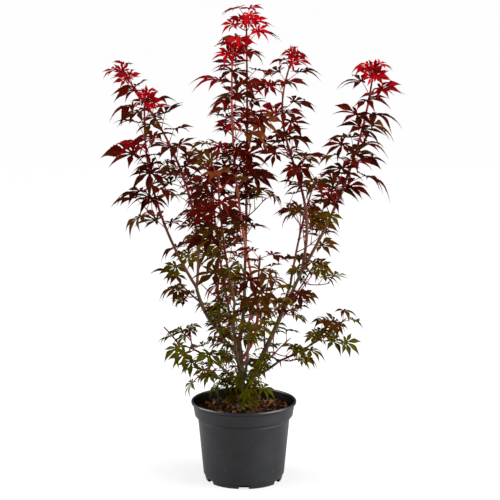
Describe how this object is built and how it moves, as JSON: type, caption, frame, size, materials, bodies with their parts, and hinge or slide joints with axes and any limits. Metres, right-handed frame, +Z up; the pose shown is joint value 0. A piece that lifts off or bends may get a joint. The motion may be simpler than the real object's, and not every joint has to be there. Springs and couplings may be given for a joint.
{
  "type": "potted japanese maple",
  "caption": "Young many-stemmed japanese maple with dark red, deeply lobed leaves, standing in a filled black plastic nursery pot.",
  "frame": {"origin": "middle of the pot's flat underside, on the ground", "axes": "+Z up the plant, -Y towards the side it is usually seen from, +X to the right of that view"},
  "size_m": [0.7091, 0.6333, 1.1675],
  "materials": {
    "pot_plastic": "matte black moulded plastic",
    "compost": "rough bark chips",
    "bark": "smooth young bark, matte",
    "leaves_dark_red": "satin leaf",
    "leaves_green": "satin leaf",
    "young_leaves": "satin leaf"
  },
  "bodies": {
    "root": {"back_bough": "bark", "back_left_bough": "bark", "back_left_foliage": "leaves_dark_red", "back_right_bough": "bark", "back_right_foliage": "leaves_dark_red", "base_front_foliage": "leaves_green", "base_left_foliage": "leaves_green", "base_right_foliage": "leaves_green", "centre_bough": "bark", "compost": "compost", "crown_leader_foliage": "leaves_dark_red", "crown_leader_young_tip": "young_leaves", "front_bough": "bark", "front_leader_foliage": "leaves_dark_red", "front_leader_young_tip": "young_leaves", "front_left_bough": "bark", "front_left_foliage": "leaves_dark_red", "front_middle_foliage": "leaves_dark_red", "inner_front_foliage": "leaves_green", "inner_left_foliage": "leaves_green", "inner_right_foliage": "leaves_green", "left_bough": "bark", "left_outer_foliage": "leaves_dark_red", "left_outer_young_tip": "young_leaves", "left_side_foliage": "leaves_green", "left_upright_foliage": "leaves_dark_red", "left_upright_young_tip": "young_leaves", "low_back_bough": "bark", "low_back_foliage": "leaves_green", "low_left_bough": "bark", "low_left_foliage": "leaves_green", "low_right_bough": "bark", "low_right_foliage": "leaves_green", "pot": "pot_plastic", "right_bough": "bark", "right_inner_foliage": "leaves_dark_red", "right_inner_young_tip": "young_leaves", "right_outer_foliage": "leaves_dark_red", "right_outer_young_tip": "young_leaves", "right_side_foliage": "leaves_green", "trunk": "bark"}
  },
  "joints": []
}
